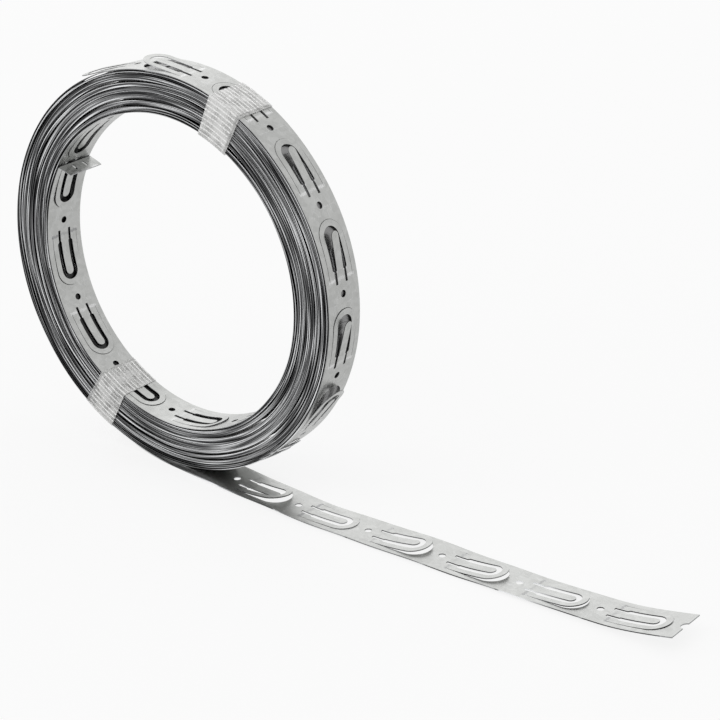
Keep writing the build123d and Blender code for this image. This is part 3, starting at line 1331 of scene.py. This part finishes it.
@dataclass
class MountingStrap:
    """The whole strap: bent-in inner end, wound turns and drawn-out end in one mesh.

    creep is how many degrees the innermost turn has slipped back. It grows over creep_from and dies away over
    creep_until, each an angle and the run after it.
    """

    unit: StampedUnit = field(default_factory=StampedUnit)
    winding: CoilWinding = field(default_factory=CoilWinding)
    end: DrawnOutEnd = field(default_factory=DrawnOutEnd)
    inner_end: InnerEnd = field(default_factory=InnerEnd)
    inner_first_hole: float = 174.15
    inner_units: int = 24
    inner_radius: float = 69.8
    outer_first_hole: float = -67.4
    outer_radius: float = OUTER_RADIUS
    outer_units_below: int = 14
    outer_last_unit: int = 12
    outer_cut: float = 20.0
    creep: float = 4.8
    creep_from: Point2 = (176.0, 92.0)
    creep_until: Point2 = (290.0, 220.0)
    under_flap: LoopSet = LoopSet(rise=-0.9, crease=0.0)
    inner_loops: dict[int, LoopSet] = field(
        default_factory=lambda: {
            0: LoopSet(rise=-0.45, dip=-0.2, crease=-0.9),
            1: LoopSet(rise=-0.3, lean=0.5, crease=0.5),
            2: LoopSet(rise=-0.3, crease=0.3),
            3: LoopSet(rise=-0.5, crease=0.3),
            10: LoopSet(rise=-0.6, crease=0.0),
            11: LoopSet(rise=-0.8, crease=0.0),
        }
    )
    outer_loops: dict[int, LoopSet] = field(
        default_factory=lambda: {
            0: LoopSet(straight=0.4, roll=-0.3, tongue=0.5),
            1: LoopSet(straight=1.0, tongue=0.9),
            2: LoopSet(straight=0.1, tongue=0.9),
            3: LoopSet(straight=0.06, tongue=0.9),
            4: LoopSet(straight=0.06, tongue=0.8),
            6: LoopSet(straight=1.0, tongue=0.8),
            7: LoopSet(straight=0.95, roll=0.3, tongue=0.6),
            8: LoopSet(straight=0.3, tongue=0.3),
        }
    )

    @property
    def outer_base(self) -> float:
        """The degrees wound before the last turn."""
        return 360.0 * self.winding.whole_turns

    def build(self, effects: Effects) -> bpy.types.Object:
        """Make and dress the strap.

        Args:
            effects: the shared groups.

        Returns:
            The strap's object.
        """
        mesh = StrapMesh(self.unit)
        self.inner_end.add_to(mesh, self.winding)
        reached = self.add_inner_turns(mesh)
        self.add_outer_turns(mesh, reached)
        self.end.add_to(mesh, self.winding.length(self.outer_base + self.winding.leave_angle))
        made = mesh.to_object("strap_coil_and_end")
        # The steel's finish gets the range of turns that lie under others, for its painted shade.
        for finish in (SteelFinish((1.0, self.winding.turns - 1), self.unit), CutEdgeFinish()):
            made.data.materials.append(finish.build(effects))
        return made

    def add_inner_turns(self, mesh: StrapMesh) -> float:
        """Add the stamped units of the innermost turns.

        Args:
            mesh: the strap's mesh.

        Returns:
            The angle that they reach.
        """
        unit = self.unit
        step = math.degrees(1 / self.inner_radius)
        first = unit.pitch - (self.inner_first_hole - self.winding.inner_angle) / step
        start = unit.layout(first, unit.pitch - unit.lead)
        hole = self.inner_first_hole - unit.pitch * step
        self.add_wound(mesh, start, hole, step, self.under_flap, (True, False))
        whole = unit.layout(-unit.lead, unit.pitch - unit.lead)
        for k in range(self.inner_units):
            hole = self.inner_first_hole + k * unit.pitch * step
            closed = (False, k == self.inner_units - 1)
            self.add_wound(mesh, whole, hole, step, self.inner_loops.get(k, LoopSet()), closed)
        return self.inner_first_hole + (self.inner_units * unit.pitch - unit.lead) * step

    def add_outer_turns(self, mesh: StrapMesh, low: float) -> None:
        """Add the plain turns, and the stamped units of the outermost ones.

        Args:
            mesh: the strap's mesh.
            low: the angle where the plain turns begin.
        """
        unit = self.unit
        step = math.degrees(1 / self.outer_radius)
        first_hole = self.outer_base + self.outer_first_hole - self.outer_units_below * unit.pitch * step
        mesh.add_ribbon(self.winding.ribbon(low, first_hole - unit.lead * step))
        whole = unit.layout(-unit.lead, unit.pitch - unit.lead)
        last = unit.layout(-unit.lead, self.outer_cut)
        for k in range(-self.outer_units_below, self.outer_last_unit + 1):
            hole = self.outer_base + self.outer_first_hole + k * unit.pitch * step
            layout = whole if k < self.outer_last_unit else last
            closed = (k == -self.outer_units_below, k == self.outer_last_unit)
            self.add_wound(mesh, layout, hole, step, self.outer_loops.get(k, LoopSet()), closed)

    def settled(self, total: float) -> float:
        """The angle of a wound point, with the slight creep of the innermost turn.

        Args:
            total: degrees wound since the angle zero of the first turn.

        Returns:
            The angle where it lies.
        """
        grown = smooth((total - self.creep_from[0]) / self.creep_from[1])
        gone = smooth((total - self.creep_until[0]) / self.creep_until[1])
        return total - self.creep * grown * (1 - gone)

    def add_wound(
        self,
        mesh: StrapMesh,
        layout: FlatMesh,
        hole: float,
        step: float,
        loops: LoopSet,
        closed: tuple[bool, bool],
    ) -> None:
        """Add one stamped unit of a wound turn.

        Args:
            mesh: the strap's mesh.
            layout: the unit's flat mesh.
            hole: the angle of its hole, in degrees since the first turn's angle zero.
            step: degrees per millimetre of strap.
            loops: how its loop and tongue are bent.
            closed: whether the strap stops at the mesh's start and at its end.
        """
        wind = self.winding
        mesh.add_unit(
            layout,
            lambda u, v, w: wind.place(self.settled(hole + u * step), v, w),
            lambda u: wind.strip,
            loops,
            1 / math.radians(step),
            wind.length(hole),
            wind.turn_at(hole),
            closed,
        )


@dataclass
class TapeBand:
    """A band of ribbed tape wrapped round the coil's section, with toothed cut ends.

    middle is its angle on the coil and stand is how far it stands off the coil. corner is where the section's
    sides stop short of its corners, and corner_out how far a corner faces each way.
    """

    name: str
    node: str
    middle: float
    finish: TapeFinish
    outer_half: float = 8.8
    inner_half: float = 7.8
    inner_radius: float = INNER_RADIUS
    outer_radius: float = OUTER_RADIUS
    half_depth: float = 10.0
    stand: float = 0.03
    corner: float = 0.5
    corner_out: float = 0.7
    spacing: float = 0.32
    film: float = 0.15
    rib_height: float = 0.13
    tooth: float = 0.35
    tooth_pitch: float = 1.3
    steps: int = 40

    def section(self) -> list[tuple[float, float, float, float]]:
        """The line that the tape follows round the coil's section.

        Returns:
            Points as radius, side, and the direction away from the coil there.
        """
        corner = self.corner
        out = self.corner_out
        low = self.inner_radius - self.stand
        high = self.outer_radius + self.stand
        wide = self.half_depth + self.stand
        made = self.side_run((high, -wide + corner), (high, wide - corner), (1.0, 0.0))
        made.append((high, wide, out, out))
        made += self.side_run((high - corner, wide), (low + corner, wide), (0.0, 1.0))
        made.append((low, wide, -out, out))
        made += self.side_run((low, wide - corner), (low, -wide + corner), (-1.0, 0.0))
        made.append((low, -wide, -out, -out))
        made += self.side_run((low + corner, -wide), (high - corner, -wide), (0.0, -1.0))
        made.append((high, -wide, out, -out))
        return made

    def side_run(self, a: Point2, b: Point2, out: Point2) -> list[tuple[float, float, float, float]]:
        """A straight side of the section.

        Args:
            a: where it begins, as radius and side.
            b: where it ends.
            out: the direction away from the coil.

        Returns:
            Its points, without the last.
        """
        count = max(2, round(math.hypot(b[0] - a[0], b[1] - a[1]) / self.spacing))
        shares = [k / count for k in range(count)]
        return [(a[0] + (b[0] - a[0]) * share, a[1] + (b[1] - a[1]) * share, *out) for share in shares]

    def half_at(self, radius: float, run: float, across: float) -> float:
        """Half the tape's width at one point, with its teeth.

        Args:
            radius: the point's radius on the coil.
            run: its distance along the tape.
            across: its place across the tape, from -1 to 1.

        Returns:
            The half width.
        """
        share = (radius - self.inner_radius) / (self.outer_radius - self.inner_radius)
        half = self.inner_half + (self.outer_half - self.inner_half) * share
        return half - self.tooth * abs(2 * (run / self.tooth_pitch % 1.0) - 1) * abs(across) ** 8

    def shell_faces(self, count: int) -> list[Face]:
        """The faces of the band's outside, inside and two cut ends.

        Args:
            count: how many points its section has.

        Returns:
            The faces.
        """
        pairs = [(2 * k, 2 * ((k + 1) % count)) for k in range(count)]
        row = 2 * count
        last = self.steps * row
        faces: list[Face] = []
        for low in range(0, last, row):
            high = low + row
            for a, b in pairs:
                faces.append((low + a, low + b, high + b, high + a))
                faces.append((low + a + 1, high + a + 1, high + b + 1, low + b + 1))
        faces += [(a, a + 1, b + 1, b) for a, b in pairs]
        faces += [(last + b, last + b + 1, last + a + 1, last + a) for a, b in pairs]
        return faces

    def build(self, effects: Effects) -> bpy.types.Object:
        """Make the band as a closed ribbed shell and dress it.

        Args:
            effects: the shared groups.

        Returns:
            The band's object.
        """
        line = self.section()
        runs = [0.0]
        for (r0, y0, *_), (r1, y1, *_) in zip(line, line[1:]):
            runs.append(runs[-1] + math.hypot(r1 - r0, y1 - y0))
        points: list[Vector] = []
        places: list[Point3] = []
        for step in range(self.steps + 1):
            width = 2 * step / self.steps
            for (radius, side, out_r, out_y), run in zip(line, runs):
                t = math.radians(self.middle) + self.half_at(radius, run, width - 1) / radius * (width - 1)
                rib = self.rib_height * (0.5 + 0.5 * math.cos(math.tau * run / RIB_PITCH)) ** 2
                for rise in (self.film + rib, 0.0):
                    r = radius + out_r * rise
                    points.append(Vector((r * math.cos(t), side + out_y * rise, r * math.sin(t))))
                    places.append((run * METRE, width * self.outer_half * METRE, rise * METRE))
        mesh = new_mesh(self.name, points, self.shell_faces(len(line)), {STRAP_PLACE: places})
        mesh.polygons.foreach_set("use_smooth", [True] * len(mesh.polygons))
        mesh.update()
        mesh.materials.append(self.finish.build(effects))
        return link_object(self.name, mesh)


@dataclass(frozen=True)
class Lamp:
    """A large soft lamp, in metres."""

    name: str
    at: Point3
    size: float
    power: float


@dataclass
class Studio:
    """The pale floor, the light and the camera.

    camera_at is millimetres in the part's frame, camera_back and camera_right are the camera's own axes, and the
    lens and sensor are the camera's millimetres. The rest is metres. floor_glow is how much of the floor is seen
    as plain white, and what is left of it shows shadows.
    """

    camera_at: Point3 = (560.12, -685.32, 448.02)
    camera_back: Point3 = (0.57173425, -0.71971264, 0.3938701)
    camera_right: Point3 = (0.78717856, 0.61651483, -0.01610538)
    lens: float = 118.72
    sensor: float = 36.0
    seen_from: float = 0.05
    seen_to: float = 50.0
    floor_reach: float = 6.0
    floor_drop: float = 0.0002
    floor_colour: Point3 = (0.9, 0.9, 0.9)
    floor_glow: float = 0.82
    world_light: float = 0.8
    lamp_aim: Point3 = (0.0, 0.0, 0.06)
    lamps: tuple[Lamp, ...] = (
        Lamp("key_lamp", (-1.03, 1.30, 0.80), 1.3, 2.6),
        Lamp("fill_lamp", (-0.5, -1.1, 1.2), 0.9, 2.5),
    )

    def build(self) -> None:
        """Make everything that isn't the object."""
        self.build_floor()
        self.build_world()
        for lamp in self.lamps:
            self.build_lamp(lamp)
        self.build_camera()

    @staticmethod
    def emptied(holder: bpy.types.Material | bpy.types.World) -> NodeSheet:
        """The node tree of a material or world, with nothing in it.

        Args:
            holder: the material or world.

        Returns:
            The sheet to write on.
        """
        holder.use_nodes = True
        holder.node_tree.nodes.clear()
        return NodeSheet(holder.node_tree)

    @staticmethod
    def seen(sheet: NodeSheet) -> bpy.types.NodeSocket:
        """One where the camera, gloss or glass looks at it, zero where it only gives light."""
        path = sheet.add("ShaderNodeLightPath").outputs
        return sheet.most(sheet.most(path["Is Camera Ray"], path["Is Glossy Ray"]), path["Is Transmission Ray"])

    def build_floor(self) -> None:
        """A wide pale floor that keeps a soft shadow."""
        reach = self.floor_reach
        corners = [(-reach, -reach, 0), (reach, -reach, 0), (reach, reach, 0), (-reach, reach, 0)]
        mesh = bpy.data.meshes.new("floor")
        mesh.from_pydata(corners, [], [(0, 1, 2, 3)])
        floor = link_object("floor", mesh)
        floor.location.z = -self.floor_drop
        material = bpy.data.materials.new("pale_floor")
        sheet = self.emptied(material)
        diffuse = sheet.add("ShaderNodeBsdfDiffuse", {"Color": opaque(self.floor_colour)}).outputs[0]
        glow = sheet.add("ShaderNodeEmission", {"Color": opaque(WHITE), "Strength": 1.0}).outputs[0]
        share = sheet.times(self.seen(sheet), self.floor_glow)
        mixed = sheet.add("ShaderNodeMixShader", {0: share, 1: diffuse, 2: glow}).outputs[0]
        sheet.add("ShaderNodeOutputMaterial", {"Surface": mixed})
        mesh.materials.append(material)

    def build_world(self) -> None:
        """Plain soft light from all round, seen as white."""
        world = bpy.data.worlds.new("studio")
        bpy.context.scene.world = world
        sheet = self.emptied(world)
        strength = sheet.span(self.seen(sheet), (0.0, 1.0), (self.world_light, 1.0))
        glow = sheet.add("ShaderNodeBackground", {"Color": opaque(WHITE), "Strength": strength}).outputs[0]
        sheet.add("ShaderNodeOutputWorld", {"Surface": glow})

    def build_lamp(self, lamp: Lamp) -> None:
        """Set up one lamp, turned towards the object.

        Args:
            lamp: the lamp.
        """
        data = bpy.data.lights.new(lamp.name, "AREA")
        data.shape = "SQUARE"
        data.size = lamp.size
        data.energy = lamp.power
        made = link_object(lamp.name, data)
        made.location = lamp.at
        made.rotation_mode = "QUATERNION"
        made.rotation_quaternion = (Vector(self.lamp_aim) - Vector(lamp.at)).to_track_quat("-Z", "Y")

    def build_camera(self) -> None:
        """The photograph's angle of view."""
        data = bpy.data.cameras.new("camera")
        data.lens = self.lens
        data.sensor_width = self.sensor
        data.clip_start = self.seen_from
        data.clip_end = self.seen_to
        camera = link_object("camera", data)
        back = Vector(self.camera_back).normalized()
        right = Vector(self.camera_right).normalized()
        turn = Matrix((right, back.cross(right), back)).transposed().to_4x4()
        camera.matrix_world = Matrix.Translation(Vector(self.camera_at) * METRE) @ turn
        bpy.context.scene.camera = camera


def report(piece: bpy.types.Object) -> None:
    """Log one piece's name and how many triangles it has."""
    triangles = sum(len(p.vertices) - 2 for p in piece.data.polygons)
    LOG.info("%s: %d triangles", piece.name, triangles)


def main() -> None:
    """Build the strap, its tape bands and the studio, in that order."""
    logging.basicConfig(level=logging.INFO, format="%(name)s %(message)s")
    bpy.context.scene.view_settings.view_transform = "Standard"
    effects = Effects()
    strap = MountingStrap().build(effects)
    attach(strap, "root")
    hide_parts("strap")
    report(strap)
    tapes = (
        TapeBand("upper_tape", "upper_tape_band", 65.3, TapeFinish("upper_ribbed_tape", (0.5, 0.88), 0.9)),
        TapeBand("lower_tape", "lower_tape_band", 239.4, TapeFinish("lower_ribbed_tape", (0.3, 0.7), 0.45)),
    )
    for tape in tapes:
        band = tape.build(effects)
        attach(band, "root")
        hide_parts(tape.node)
        report(band)
    Studio().build()


if __name__ == "__main__":
    main()
